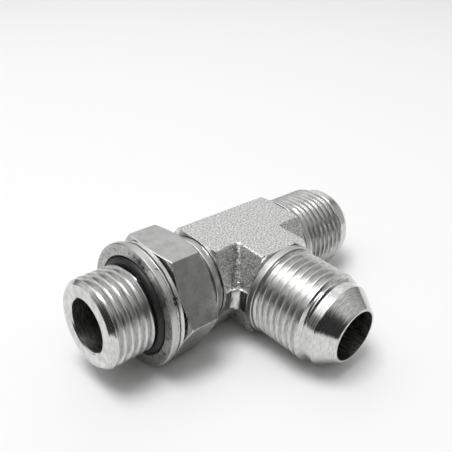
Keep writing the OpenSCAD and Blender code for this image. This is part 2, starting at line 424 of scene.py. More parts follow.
# Steel sheared by the trimming punch, torn upright, with a painted sheen: lighter in the punch's round
# corner near the parting line and darker along its straight walls
def shearedSteel():
    look = shearedFinish
    material, tree, place = placedMaterial("sheared steel")
    upright = addNode(tree, "Mapping", {"Vector": place, "Scale": (1, 1, 0.3)})
    tears = addNode(tree, "TexNoise", {
        "Vector": upright, "Scale": 1 / (look["tearMm"] * mm), "Detail": 4})
    # painted sheen: the colour is lifted in the punch's round corner near the parting line
    uneven = addNode(tree, "Math", {0: readMarks(tree, "burnished")[0], 1: tears})
    bump = addNode(tree, "Bump", {"Height": tears, "Distance": look["tearDepthMm"] * mm})
    return finishMetal(material, colourSpread(tree, uneven, 0.6, 1.4, look), look["roughness"], bump)


rubberFinish = {"dark": "0b0b0c", "light": "1c1c1d", "roughness": 0.5, "bloomMm": 1.2}


# Moulded nitrile rubber: matt black with a faint grey bloom
def nitrileRubber():
    look = rubberFinish
    material, tree, place = placedMaterial("nitrile rubber")
    bloom = addNode(tree, "TexNoise", {
        "Vector": place, "Scale": 1 / (look["bloomMm"] * mm), "Detail": 4})
    return finishMaterial(material, {
        "Base Color": colourSpread(tree, bloom, 0.4, 0.7, look),
        "Roughness": look["roughness"], "IOR": 1.52})


nutFinish = {
    "dark": "acacaa",
    "light": "bcbcba",
    # painted highlight along the nut's front edges
    "wornColour": "f4f4f2",
    "roughness": 0.27,
    "lineMm": 0.12,  # drawing lines along the bar
    "lineDepthMm": 0.002,
    "patchMm": 2.2,
}
# the wear colour lightens the rims of ring and washer a little: real rubbing, with some painted highlight
ringFinish = {"dark": "949492", "light": "bcbcba", "wornColour": "c0c0be", "roughness": 0.3}
washerFinish = {"dark": "b0b0ae", "light": "d0d0ce", "wornColour": "d4d4d2", "roughness": 0.24}
zincPatch = {"sizeMm": 0.8, "depthMm": 0.006}
# the stains' colour also paints the shade line on the washer
stainAndGapShade = {"colour": "302f2d", "share": 0.85, "frayMm": 0.45, "frayReachMm": 0.5}

# Stains and nicks seen in the photo: how far along the run, the angle round the stud
# from +Y towards +Z in degrees, the radius and the size, in millimetres
ringStains = (
    (-32.5, 84, 13.4, 0.4), (-32.5, 93, 13.4, 0.45), (-32.5, 101, 13.3, 0.8), (-32.5, 107, 12.9, 0.6),
    (-32.5, 60, 13.3, 0.35), (-32.5, 45, 13.1, 0.35), (-32.5, 33, 13.4, 0.3), (-32.5, 205, 13.2, 0.5),
    (-31.0, 118, 14.7, 0.3), (-31.3, 171, 14.7, 0.35),
)
washerStains = ((-30.2, 146, 14.3, 0.7), (-30.4, 150, 14.3, 0.6), (-29.6, 78, 14.3, 0.25))
nutNicks = ((-19.0, 119, 14.9, 0.4), (-21.0, 181, 13.6, 0.3), (-22.3, 194, 13.9, 0.3))


# Darkens a colour inside small spots whose outlines a noise has torn
def spotted(tree, place, colour, spots):
    frayed = addNode(tree, "TexNoise", {
        "Vector": place, "Scale": 1 / (stainAndGapShade["frayMm"] * mm), "Detail": 3})
    reach = stainAndGapShade["frayReachMm"] * mm
    shift = addNode(tree, "MapRange", {
        "Value": frayed, "From Min": 0.3, "From Max": 0.7, "To Min": -reach, "To Max": reach})
    for along, degrees, radius, width in spots:
        turn = math.radians(degrees)
        centre = [along * mm, radius * math.cos(turn) * mm, radius * math.sin(turn) * mm]
        apart = addNode(tree, "VectorMath", {0: place, 1: centre}, operation="DISTANCE")
        torn = addNode(tree, "Math", {0: apart, 1: shift})
        share = addNode(tree, "MapRange", {
            "Value": torn, "From Min": width * mm, "From Max": 0.6 * width * mm,
            "To Max": stainAndGapShade["share"]})
        colour = layered(tree, colour, (share, stainAndGapShade["colour"]))
    return colour


# Colour and roughness of a handled piece: patchy, lighter at its rubbed edges with a painted highlight,
# with a line of painted shade where asked, spotted
def handled(tree, place, patches, look, spots, marks, smoother, rougher):
    colour = colourSpread(tree, patches, 0.35, 0.65, look)
    # rubbed edges take a light colour, a painted highlight on the nut; the second mark, where there is
    # one, is painted shade in the stains' colour
    colour = layered(tree, colour, *zip(readMarks(tree, *marks), (look["wornColour"], stainAndGapShade["colour"])))
    rough = addNode(tree, "MapRange", {
        "Value": patches, "From Min": 0.3, "From Max": 0.7,
        "To Min": look["roughness"] - smoother, "To Max": look["roughness"] + rougher})
    return spotted(tree, place, colour, spots), rough


# Cold-drawn hexagon bar, zinc plated: satin grey with faint lines along the bar, and a painted highlight
# along the edges of its front chamfer
def drawnHexagon():
    look = nutFinish
    material, tree, place = placedMaterial("satin zinc-plated hexagon bar")
    stretched = addNode(tree, "Mapping", {"Vector": place, "Scale": (0.04, 1, 1)})
    lines = addNode(tree, "TexNoise", {
        "Vector": stretched, "Scale": 1 / (look["lineMm"] * mm), "Detail": 3})
    patches = addNode(tree, "TexNoise", {
        "Vector": place, "Scale": 1 / (look["patchMm"] * mm), "Detail": 4})
    bump = addNode(tree, "Bump", {"Height": lines, "Distance": look["lineDepthMm"] * mm})
    colour, rough = handled(tree, place, patches, look, nutNicks, ["worn"], 0.01, 0.02)
    return finishMetal(material, colour, rough, bump)


# Stamped steel, zinc plated, with oil-dark stains where it has been handled, and on the washer a line of
# painted shade by the ring
def stainedZinc(name, look, spots):
    material, tree, place = placedMaterial(name)
    patches = addNode(tree, "TexNoise", {
        "Vector": place, "Scale": 1 / (zincPatch["sizeMm"] * mm), "Detail": 5})
    bump = addNode(tree, "Bump", {"Height": patches, "Distance": zincPatch["depthMm"] * mm})
    colour, rough = handled(tree, place, patches, look, spots, ["worn", "grime"], 0.05, 0.1)
    return finishMetal(material, colour, rough, bump)


# The forged core

forging = {
    "flatHeight": mounts["upper_flat"]["pos_m"][2] / mm,
    "runShoulder": 14.7,
    "branchShoulder": 15.1,
    "facingSpare": 0.5,  # what the lathe takes off the raw ends
    "facingRadius": 12.3,  # where the turned chamfer of a shoulder starts
    "facingAngle": 30,
    "runFlat": 6.7,  # half width of the broad flat along the run
    "runParting": 12.1,
    "branchFlat": 7.1,
    "branchParting": 11.5,
    "band": 1.8,  # half height of the trimmed band at the parting line
    "edgeRound": 0.46,
    "crotchRoundFlat": 0.8,
    "crotchRoundParting": 2.0,
    "dent": 0.05,  # height of the hammer marks
    "dentCell": 1.6,
    "pit": 0.03,
    "pitCell": 0.55,
    "burr": 0.14,
    "burrWidth": 0.22,
    "lip": 0.55,  # what the punch pushed up along its cut
    "lipWidth": 0.26,
    "punchCut": 0.24,  # how far the trimming punch went past the parting line
    "punchRound": 2.1,
    "punchRough": 0.04,
    "valleyTop": 0.9,  # half width of the scale left in the crotch's corner
    "valleyFoot": 2.5,
}
coreCounts = {
    "leg": 18, "middle": 24, "arc": 20, "side": 26, "top": 10, "edge": 5, "slope": 44, "band": 5}


# One half of the section, from the middle of the broad flat down to the parting line,
# as rows of half width and height. A quadratic curve rounds the flat's edge.
def halfSection(flat, parting):
    size, counts = forging, coreCounts
    corner = np.array([flat, size["flatHeight"]])
    foot = np.array([parting, size["band"]])
    slope = (foot - corner) / np.linalg.norm(foot - corner)
    start = corner - [size["edgeRound"], 0]
    finish = corner + slope * size["edgeRound"]
    middle = np.array([0, size["flatHeight"]])
    top = middle + (start - middle) * np.linspace(0, 1, counts["top"] + 1)[:, None]
    share = np.linspace(0, 1, counts["edge"] + 1)[1:, None]
    edge = (1 - share) ** 2 * start + 2 * share * (1 - share) * corner + share ** 2 * finish
    closing = 1 - (1 - np.linspace(0, 1, counts["slope"] + 1)[1:, None]) ** 1.7
    side = finish + (foot - finish) * closing
    band = foot * np.stack([np.ones(counts["band"]), np.linspace(1, 0, counts["band"] + 1)[1:]], 1)
    half = np.vstack([top, edge, side, band])
    return np.vstack([half, half[-2::-1] * [1, -1]])


# The core is a grid whose columns go round the plan of the tee, from the right end along
# the back, and whose rows go down the section from one flat's middle line to the other's
def forgedCore():
    size, counts = forging, coreCounts
    run = halfSection(size["runFlat"], size["runParting"])
    branch = halfSection(size["branchFlat"], size["branchParting"])
    rows = len(run)
    height = run[:, 1:]
    runHalf, branchHalf = run[:, :1], branch[:, :1]
    share = np.clip((size["flatHeight"] - np.abs(height)) / (size["flatHeight"] - size["band"]), 0, 1)
    crotch = size["crotchRoundFlat"] + (size["crotchRoundParting"] - size["crotchRoundFlat"]) * share
    crotch = crotch * np.minimum(1, runHalf / size["runFlat"])
    inner = branchHalf + crotch
    reach = np.full((rows, 1), size["runShoulder"] + size["facingSpare"])
    shoulder = np.full((rows, 1), size["branchShoulder"] + size["facingSpare"])
    tangent = np.gradient(run, axis=0)
    tangent = tangent / np.linalg.norm(tangent, axis=1, keepdims=True)
    sideways, upwards = -tangent[:, 1:], tangent[:, :1]

    # places in plan with the way outwards there become points on the rough skin
    def shaped(x, y, normalX, normalY):
        points = np.stack([x, y, height * np.ones_like(x)], -1)
        normal = np.stack([sideways * normalX, sideways * normalY, upwards * np.ones_like(x)], -1)
        lift = size["dent"] * latticeNoise(points, size["dentCell"], 11, 2)
        lift = lift + size["pit"] * latticeNoise(points, size["pitCell"], 12, 2)
        points = points + normal * lift[..., None]
        ridge = np.exp(-((np.abs(points[..., 2]) - size["band"]) / size["burrWidth"]) ** 2)
        cut = np.exp(-((punchDistance(points[..., 0], points[..., 1]) - 0.08) / size["lipWidth"]) ** 2)
        ragged = 0.55 + 0.45 * latticeNoise(points * [1, 1, 0], 0.45, 13, 2)
        toCorner = np.hypot(np.abs(x) - size["branchParting"], y + size["runParting"])
        cut = cut * (0.35 + 1.6 * np.exp(-(toCorner / 1.4) ** 2))
        side = np.sign(points[..., 2:])
        pushed = (normal * np.abs(side) + side * [0, 0, 1]) / 1.6
        points = points + pushed * (size["lip"] * cut * ragged)[..., None]
        plan = np.stack([normalX, normalY, np.zeros_like(x)], -1)
        return points + plan * (size["burr"] * ridge * ragged)[..., None]

    def wall(start, finish, half, side, name, alongX=True):
        share = np.linspace(0, 1, counts[name] + 1)
        moving = start * (1 - share) + finish * share
        still, ahead, aside = side * half * np.ones_like(moving), 0 * moving, side + 0 * moving
        return shaped(moving, still, ahead, aside) if alongX else shaped(still, moving, aside, ahead)

    def crotchArc(side):
        turn = np.linspace(0, math.pi / 2, counts["arc"] + 1) + 0 * crotch
        x = side * (inner - crotch * np.sin(turn))
        return shaped(x, crotch * np.cos(turn) - (runHalf + crotch), side * np.sin(turn), -np.cos(turn))

    # an end face, filled in between the last points of the walls on its two sides
    def endFace(plus, minus):
        step, row, last = np.arange(counts["top"] + 1), np.arange(rows)[:, None], rows - 1
        upper, lower = row <= counts["top"], row >= last - counts["top"]
        pick = np.where(lower, last - np.minimum(step, last - row), row)
        pick = np.where(upper, np.minimum(step, row), pick)
        share = np.where(upper | lower, 1.0, step / counts["top"])[..., None]
        middle = (plus + minus) / 2
        one, other = (middle[pick] + (edge[pick] - middle[pick]) * share for edge in (plus, minus))
        return np.concatenate([one[:, ::-1], other], 1)

    depth = -(runHalf + crotch)
    back = [wall(reach, inner, runHalf, 1, "leg"), wall(inner, -inner, runHalf, 1, "middle"),
            wall(-inner, -reach, runHalf, 1, "leg")]
    left = [wall(-reach, -inner, runHalf, -1, "leg"), crotchArc(-1),
            wall(depth, -shoulder, branchHalf, -1, "side", False)]
    right = [wall(-shoulder, depth, branchHalf, 1, "side", False), crotchArc(1)[:, ::-1],
             wall(inner, reach, runHalf, -1, "leg")]
    ends = [endFace(one[-1][:, -1], other[0][:, 0])
            for one, other in ((back, left), (left, right), (right, back))]
    grid = np.concatenate([*back, ends[0], *left, ends[1], *right, ends[2]], 1)
    return skinObject("tee_forging", grid)


# The trimming punch in one crotch: two upright walls that meet in a round corner, a
# little uneven like the sheared steel
def punchCutter(side):
    corner = punchCorner()
    radius, far = forging["punchRound"], 6.0
    turn = np.linspace(-math.pi / 2, -math.pi, 13)[:, None]
    along = np.linspace(far, 0, 31)[:, None]
    arc = corner + radius * np.concatenate([np.cos(turn), np.sin(turn)], 1)
    plan = np.vstack([
        corner + along * [1, 0] - [0, radius], arc[1:-1], corner + along[::-1] * [0, 1] - [radius, 0]])
    inwards = np.vstack([
        0 * along + [0, -1], (arc[1:-1] - corner) / radius, 0 * along + [-1, 0]])
    plan = np.vstack([plan, corner + far, plan[:1]])
    inwards = np.vstack([inwards, [[0, 0]], inwards[:1]])
    level = np.linspace(-1, 1, 61)[:, None] * (forging["flatHeight"] + 1)
    sample = np.concatenate([plan, np.zeros((len(plan), 1))], 1) + level[..., None] * [0, 0, 0.35]
    depth = forging["punchRough"] * latticeNoise(sample, 0.6, 21, 2)[..., None]
    wall = plan + inwards * depth
    wall = np.concatenate([wall, level[..., None] * np.ones((1, len(plan), 1))], 2)
    middle = np.append(corner + far / 2, 0)
    caps = [middle + edge * [0, 0, 1] for edge in (wall[:1], wall[-1:])]
    points = np.concatenate([caps[0], wall, caps[1]]) * [side, -1, 1]
    return skinObject("trimming punch", points)


# Centre of the punch's round corner, out along the run and along the branch
def punchCorner():
    shift = forging["punchRound"] - forging["punchCut"]
    return np.array([forging["branchParting"] + shift, forging["runParting"] + shift])


# Distance in plan from the punch's walls, above zero in what it left standing
def punchDistance(x, y):
    corner = punchCorner()
    out, down = corner[0] - np.abs(x), corner[1] + y
    apart = np.hypot(np.maximum(out, 0), np.maximum(down, 0)) + np.minimum(np.maximum(out, down), 0)
    return apart - forging["punchRound"]


# What the lathe leaves between two shoulders, each faced and then chamfered
def facingSolid(end, near, far):
    slope = slopeOf(forging["facingAngle"])
    radius, outer = forging["facingRadius"], 26.0
    drop = (outer - radius) * slope
    corners = [(-far, 0), (-far, radius), (-far + drop, outer),
               (near - drop, outer), (near, radius), (near, 0)]
    return skinObject("facing", aroundEnd(end, *turnedRows(corners, roundAngles()), roundAngles()))


# The turned ends

flareEnd = {
    "collarRadius": 11.5,
    "collarLength": 1.5,
    "grooveWidth": 0.3,  # relief between forging and collar
    "grooveDepth": 0.5,
    "landRadius": 10.0,
    "landLength": 2.3,
    "coneAngle": 37,
    "rimWidth": 0.5,
    "rounding": 0.18,
    "leadDrop": 0.3,  # the thread's chamfer at the collar
    "leadLength": 0.35,
    "rootStation": 8.0,
    "rootRadius": 9.0,
    "runOut": 1.6,
    "tooth": {"depth": 1.1, "flankAngle": 30, "crestFlat": 0.26, "rounding": 0.12},
}
studEnd = {
    "collarRadius": 11.0,
    "collarEnd": 16.5,
    "grooveRadius": 9.25,  # deeper than the thread, so that the nut can run out over it
    "grooveEnd": 17.3,
    "leadShare": 0.55,  # length of the lock thread's first chamfer, as a share of its depth
    "neckRadius": 9.0,
    "neckStart": 25.2,
    "neckEnd": 33.1,
    "slopeAngle": 60,
    "noseChamfer": 1.05,
    "runOut": 0.9,
    "rounding": 0.18,
    "tooth": {"depth": 1.16, "flankAngle": 27.5, "crestFlat": 0.42, "rounding": 0.2},
}
bore = {"radius": mountRadius("run_bore"), "chamfer": 0.3, "start": -2.0, "beyond": 1.0}
biteDepth = 0.05  # how far a collar reaches into the forging it is joined to
roundColumns = 145


def roundAngles(count=roundColumns):
    return np.linspace(0, fullTurn, count)


# Corners of an end from its root in the forging, over the relief groove, to the front
# edge of its collar
def collarCorners(shoulder, collar, front):
    size = flareEnd
    base, groove = shoulder - biteDepth, shoulder + size["grooveWidth"]
    root, low = size["rootRadius"], collar - size["grooveDepth"]
    return [(size["rootStation"], 0), (size["rootStation"], root), (base, root), (base, low),
            (groove, low), (groove, collar), (front, collar)]


# Collar, thread, land and cone of a flare end, turned round its axis
def flareSolid(name, end, shoulder, reach):
    size = flareEnd
    angle = roundAngles()
    crest = mountRadius("run_flare_thread")
    foot, land, mouth = crest - size["leadDrop"], size["landRadius"], bore["radius"] + size["rimWidth"]
    front = shoulder + size["grooveWidth"] + size["collarLength"]
    coneStart = reach - (land - mouth) / slopeOf(size["coneAngle"])
    landStart = coneStart - size["landLength"]
    corners = [*collarCorners(shoulder, size["collarRadius"], front), (front, foot)]
    outline = [(front, foot), (front + size["leadLength"], crest), (landStart - (crest - land), crest),
               (landStart, land)]
    nose = [(landStart, land), (coneStart, land), (reach, mouth), (reach, 0)]
    return turnedObject(
        name, end, angle, turnedRows(corners, angle, size["rounding"]),
        threadRows(front, landStart, angle, size["tooth"], crest, outline, size["runOut"]),
        turnedRows(nose, angle, size["rounding"]))


# Collar, lock thread, neck and port thread of the stud end, turned round its axis
def studSolid():
    size = studEnd
    angle = roundAngles()
    crest, neck, groove = mountRadius("stud_thread"), size["neckRadius"], size["grooveRadius"]
    collar, lock = size["collarEnd"], size["grooveEnd"]
    lockEnd, port = size["neckStart"], size["neckEnd"]
    reach, drop, nose = -bodyLow[0], crest - neck, crest - size["noseChamfer"]
    slope = slopeOf(size["slopeAngle"])
    corners = collarCorners(forging["runShoulder"], size["collarRadius"], collar)
    lockOutline = [(lock, groove), (lock + size["leadShare"] * (crest - groove), crest),
                   (lockEnd - drop, crest), (lockEnd, neck)]
    portOutline = [(port, neck), (port + drop / slope, crest),
                   (reach - size["noseChamfer"], crest), (reach, nose)]
    return turnedObject(
        "stud end", "stud", angle,
        turnedRows([*corners, (collar, groove), (lock, groove)], angle, size["rounding"]),
        threadRows(lock, lockEnd, angle, size["tooth"], crest, lockOutline),
        turnedRows([(lockEnd, neck), (port, neck)], angle),
        threadRows(port, reach, angle, size["tooth"], crest, portOutline, 0.0, size["runOut"]),
        turnedRows([(reach, nose), (reach, 0)], angle))


# A drill's way from behind the crossing out past the end's mouth
def drillCutter(end, reach, chamfer):
    radius = bore["radius"]
    angle = roundAngles(97)
    start = bore["start"]
    mouth = [(reach - chamfer, radius), (reach + bore["beyond"], radius + chamfer + bore["beyond"])]
    if chamfer == 0:
        mouth = [(reach + bore["beyond"], radius)]
    corners = [(start, 0), (start, radius), *mouth, (mouth[-1][0], 0)]
    return turnedObject("drill cutter", end, angle, turnedRows(corners, angle))


def buildTee():
    piece = forgedCore()
    print("forged core:", len(piece.data.polygons), "faces")
    run, branch = forging["runShoulder"], forging["branchShoulder"]
    for side in (-1, 1):
        combine(piece, punchCutter(side), "DIFFERENCE")
    combine(piece, facingSolid("run", run, run), "INTERSECT")
    combine(piece, facingSolid("branch", branch, 30.0), "INTERSECT")
    combine(piece, flareSolid("run end", "run", run, bodyHigh[0]), "UNION")
    combine(piece, flareSolid("branch end", "branch", branch, -bodyLow[1]), "UNION")
    combine(piece, studSolid(), "UNION")
    for end, reach, chamfer in (
            ("run", bodyHigh[0], 0), ("branch", -bodyLow[1], 0), ("stud", -bodyLow[0], bore["chamfer"])):
        combine(piece, drillCutter(end, reach, chamfer), "DIFFERENCE")
    piece.name = "forged_tee"
    piece.data.calc_loop_triangles()
    print("tee joined:", len(piece.data.loop_triangles), "triangles")
    return piece


# Gives each face of the tee the finish of the way it was made, by where it lies
def sortFaces(piece):
    size, mesh = forging, piece.data
    centre = np.empty(len(mesh.polygons) * 3)
    mesh.polygons.foreach_get("center", centre)
    x, y, z = centre.reshape(-1, 3).T / mm
    run, branch, margin = size["runShoulder"], size["branchShoulder"], 0.02
    aroundRun, aroundBranch, drilled = np.hypot(y, z), np.hypot(x, z), bore["radius"] + margin
    slope = slopeOf(size["facingAngle"])
    runFace, branchFace = (
        shoulder - np.maximum(radius - size["facingRadius"], 0) * slope - margin
        for shoulder, radius in ((run, aroundRun), (branch, aroundBranch)))
    kind = np.zeros(len(x), np.int32)
    for number, made in (
            (4, (punchDistance(x, y) < 0.1) & (np.abs(z) < size["flatHeight"] - 1)),
            (2, (-y > branchFace) & (np.abs(x) < size["branchParting"] + 0.5)),
            (1, (np.abs(x) > runFace) & (np.abs(y) < size["runParting"] + 0.5)),
            (2, -y > branch - margin),
            (1, np.abs(x) > run - margin),
            (3, (aroundRun < drilled) | ((aroundBranch < drilled) & (y < 0)))):
        kind[made] = number
    mesh.materials.clear()
    for material in (
            blastedForging(),
            turnedSteel("turned zinc-plated steel along the run", "X", turnedFinish),
            turnedSteel("turned zinc-plated steel along the branch", "Y", turnedFinish),
            turnedSteel("drilled steel", "X", boreFinish),
            shearedSteel()):
        mesh.materials.append(material)
    mesh.polygons.foreach_set("material_index", kind)


# Marks on the tee's points what its materials read: rims that trimming burnished, under a painted
# highlight, scale in the crotches with painted shade in their corners, dull threads and collars, painted
# shade on the collars and a painted highlight on their edges, and a painted sheen by the punch's corner
def markTee(piece):
    size = forging
    place = pointPlaces(piece)
    x, y, z = place.T
    out, down, height = np.abs(x), -y, np.abs(z)
    run, branch, flat = size["runShoulder"], size["branchShoulder"], size["flatHeight"]
    # rim: the trimmed rims, burnished, which get a painted highlight
    rim = 1 - smoothStep(punchDistance(x, y), 0.2, 0.4)
    band = np.exp(-((height - size["band"]) / 0.25) ** 2)
    wall = np.maximum(np.abs(y) > size["runParting"] - 0.35, out > size["branchParting"] - 0.35)
    share = np.clip((flat - height) / (flat - size["band"]), 0, 1)
    cornerX, cornerY, width = (size[top] + (size[foot] - size[top]) * share for top, foot in (
        ("branchFlat", "branchParting"), ("runFlat", "runParting"), ("valleyTop", "valleyFoot")))
    apart = np.hypot(out - cornerX, y + cornerY) + 0.8 * latticeNoise(place, 1.3, 31, 2)
    # valley: the crotch's corner, where the scale specks lie and painted shade darkens it
    valley = (1 - smoothStep(apart, 0.4 * width, width)) * (height < flat - 0.15)
    collar, edge = np.zeros((2, len(x)), bool)
    flareCollar = flareEnd["collarRadius"]
    for station, shoulder, below in (
            (out, run, np.where(x < 0, studEnd["collarRadius"], flareCollar) - np.hypot(y, z)),
            (down, branch, flareCollar - np.hypot(x, z))):
        # collar: the collar bands, which get painted shade
        collar |= (station > shoulder + 0.15) & (station < shoulder + 1.85)
        # edge: the collars' rounded edges, which get a painted highlight
        edge |= (station > shoulder + 0.2) & (station < shoulder + 1.95) & (below > 0.01) & (below < 0.16)
    threaded = ((x > run + 1.85) & (x < bodyHigh[0] - 8.1)) | (
        (down > branch + 1.85) & (down < -bodyLow[1] - 8.1)) | (
        (x < -studEnd["grooveEnd"]) & (x > bodyLow[0] + 1.2))
    # painted sheen on the punch's walls: light in the round corner and near the parting line, fading along
    # the walls and upwards, in ragged patches
    burnished = smoothStep(-out, -13.4, -12.8) * (1 - smoothStep(down, 12.9, 13.3))
    burnished = burnished * (1 - smoothStep(height + 0.9 * latticeNoise(place, 0.9, 32), 1.9, 2.7))
    burnished = burnished * np.clip(0.75 + 0.8 * latticeNoise(place * [1, 1, 0.5], 0.6, 33), 0, 1)
    markPoints(piece, rim=np.maximum(rim, 0.7 * band * wall), valley=valley, edge=edge,
               dull=np.where(threaded, 0.6, 1.0 * collar), burnished=burnished)


# Tells the frame what a finished piece rides on and hides the node that it replaces
def handOver(piece, body, node):
    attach(piece, body)
    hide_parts(node)


tee = buildTee()
sortFaces(tee)
markTee(tee)
smoothShade(tee, 32)
handOver(tee, "tee", "tee_body")


# The lock nut

lockNut = {
    "across": 27.0,
    "turn": -1.5,
    "cornerRound": 0.35,
    "rearRadius": 12.9,  # where the corner chamfer starts on the rear face
    "rearAngle": 30,
    "frontRadius": 11.9,
    "frontAngle": 15,
    "edgeBreak": 0.1,
    "clearance": 0.05,
    "boreChamfer": 0.5,
    "rowsPerPitch": 10,
    "flatPoints": 15,
    "cornerPoints": 5,
}


# Plan of the hexagon: six flats with rounded corners, as radius and angle round the axis
def hexagonPlan():
    size = lockNut
    apothem = size["across"] / 2
    corner = size["cornerRound"]
    halfFlat = (apothem - corner) * math.tan(math.pi / 6)
    across = np.linspace(-halfFlat, halfFlat, size["flatPoints"])
    flat = np.stack([np.full_like(across, apothem), across], -1)
    sweep = np.linspace(0, math.pi / 3, size["cornerPoints"] + 2)[1:-1]
    bend = np.stack([apothem - corner + corner * np.cos(sweep), halfFlat + corner * np.sin(sweep)], -1)
    side = np.vstack([flat, bend])
    plan = []
    for number in range(6):
        ahead, aside = math.cos(number * math.pi / 3), math.sin(number * math.pi / 3)
        plan.append(side @ np.array([[ahead, aside], [-aside, ahead]]))
    plan = np.vstack([*plan, plan[0][:1]])
    angle = np.unwrap(np.arctan2(plan[:, 1], plan[:, 0]))
    return np.hypot(plan[:, 0], plan[:, 1]), angle


# Rows from a face of the nut over its corner chamfer, and how far the chamfer reaches
def chamferRows(hexRadius, faceRadius, degrees):
    slope = slopeOf(degrees)
    drop = np.maximum(hexRadius - faceRadius, 0) * slope
    cut = lockNut["edgeBreak"]
    edge = np.minimum(faceRadius, hexRadius)
    return drop, [
        (0 * drop, edge - cut),
        (cut * slope + 0 * drop, edge + cut * np.sign(drop)),
        ((drop + cut * slope) / 2, (hexRadius + edge) / 2),
        (np.maximum(drop - 2 * cut * slope, cut * slope), hexRadius - 2 * cut * np.sign(drop)),
        (np.maximum(drop - cut * slope, cut * slope), hexRadius - cut * np.sign(drop)),
        (drop + cut, hexRadius),
        (drop + 2 * cut, hexRadius),
    ]


# The nut is a closed ring of rows, over its outside and back through the threaded bore.
# Where a chamfer's cone cuts a flat, the row follows the cut.
def buildNut():
    size = lockNut
    rear, front = -nutHigh[0], -nutLow[0]
    hexRadius, angle = hexagonPlan()
    angle = angle - math.radians(size["turn"])
    crest = mountRadius("stud_thread")
    rearDrop, rearRows = chamferRows(hexRadius, size["rearRadius"], size["rearAngle"])
    frontDrop, frontRows = chamferRows(hexRadius, size["frontRadius"], size["frontAngle"])
    length = front - rear - rearDrop - frontDrop
    rows = [(rear + station, radius) for station, radius in rearRows]
    rows += [(rear + rearDrop + length * share, hexRadius) for share in (0.25, 0.5, 0.75)]
    rows += [(front - station, radius) for station, radius in frontRows[::-1]]
    inner = crest + size["clearance"]
    mouth = inner + size["boreChamfer"]
    station, radius = (np.array(part) for part in zip(*rows))
    into = turnedRows([(front, mouth), (front - size["boreChamfer"], inner)], angle)
    outline = [(rear, mouth), (rear + size["boreChamfer"], inner),
               (front - size["boreChamfer"], inner), (front, mouth)]
    thread = innerThreadRows(rear, front, angle, outline)
    station = np.vstack([station, thread[0][::-1]])
    radius = np.vstack([radius, thread[1][::-1]])
    piece = skinObject("lock_hexagon", aroundEnd("stud", station, radius, angle), joinRows=True)
    piece.data.materials.append(drawnHexagon())
    smoothShade(piece, 24)
    # painted highlight along the nut's front edges
    markPoints(piece, worn=highlightedEdges(pointPlaces(piece), front))
    return piece


# Above zero along the sharp edges between the flats and the front chamfer, where a painted highlight goes
def highlightedEdges(place, front):
    size = lockNut
    radius = np.hypot(place[:, 1], place[:, 2])
    turn = np.degrees(np.arctan2(place[:, 1], place[:, 2])) + size["turn"]
    aside = np.radians((turn + 30) % 60 - 30)
    corner = (size["across"] / 2 - size["cornerRound"]) / math.cos(math.pi / 6) + size["cornerRound"]
    toFlat = np.minimum(size["across"] / 2 / np.cos(aside), corner) - radius
    cone = front - (radius - size["frontRadius"]) * slopeOf(size["frontAngle"])
    toCone = np.abs(cone + place[:, 0])
    cut = size["edgeBreak"]
    near = 1 - smoothStep(np.maximum(toFlat, toCone), 1.2 * cut, 1.9 * cut)
    return near * (radius > size["frontRadius"] + 0.3)


# The nut's thread lies the clearance outside the stud's, in step with its helix
def innerThreadRows(rear, front, angle, outline):
    crest = mountRadius("stud_thread") + lockNut["clearance"]
    station, drop = helixRows(rear, front, angle, studEnd["tooth"], lockNut["rowsPerPitch"], angle[0])
    stations, radii = np.array(outline).T
    return station, np.maximum(crest - drop, np.interp(station, stations, radii - 1.2))


nut = buildNut()
handOver(nut, "nut", "lock_nut")
print("lock nut:", len(nut.data.polygons), "faces")


# Washer, retaining ring and seal

flatRing = {
    "edge": 0.22,
    "rounding": 0.1,
    "gap": 0.06,
    "rimRows": 16,
    # painted shade: a dark line on the washer's rim just behind the ring, the shade of the gap between
    # them
    "grimeEnd": 0.66,
    "grimeWidth": 0.24,
    "sealPlay": 0.28,
}


# A flat ring with broken edges: its outline carried round the stud
def ringPiece(name, low, high, hole, material, gapShaded):
    size = flatRing
    back, front = -high[0] + size["gap"], -low[0]
    outer = high[1]
    edge = size["edge"]
    angle = roundAngles(193)
    rim = [(station, outer) for station in np.linspace(back + edge, front - edge, size["rimRows"])]
    rows = turnedRows([
        ((back + front) / 2, hole), (back, hole), (back, outer - edge), *rim,
        (front, outer - edge), (front, hole), ((back + front) / 2, hole)], angle, size["rounding"])
    piece = skinObject(name, aroundEnd("stud", *rows, angle))
    piece.data.materials.append(material)
    smoothShade(piece, 30)
    place = pointPlaces(piece)
    radius = np.hypot(place[:, 1], place[:, 2])
    # a painted shade line on the washer's rim just behind the ring, on the pieces that ask for it
    behind = front - size["grimeEnd"] + place[:, 0] + 0.12 * latticeNoise(place, 1.2, 41, 2)
    grime = np.exp(-(behind / size["grimeWidth"]) ** 4) * (radius > outer - edge) * gapShaded
    # the rim is marked for its lighter wear colour with painted highlight
    markPoints(piece, worn=smoothStep(radius, outer - edge - 0.1, outer - edge), grime=0.95 * grime)
    return piece


sealSection = sealHigh[0] - sealLow[0]
sealMiddle = sealHigh[1] - sealSection / 2
neckClearance = sealHigh[1] - sealSection
washerZinc = stainedZinc("washer zinc plate", washerFinish, washerStains)
ringZinc = stainedZinc("stained ring zinc plate", ringFinish, ringStains)
washer = ringPiece("washer_disc", washerLow, washerHigh, neckClearance, washerZinc, 1)
ring = ringPiece("outer_ring", ringLow, ringHigh, sealHigh[1] + flatRing["sealPlay"], ringZinc, 0)
handOver(washer, "seal_pack", "backup_washer")
handOver(ring, "seal_pack", "retaining_ring")


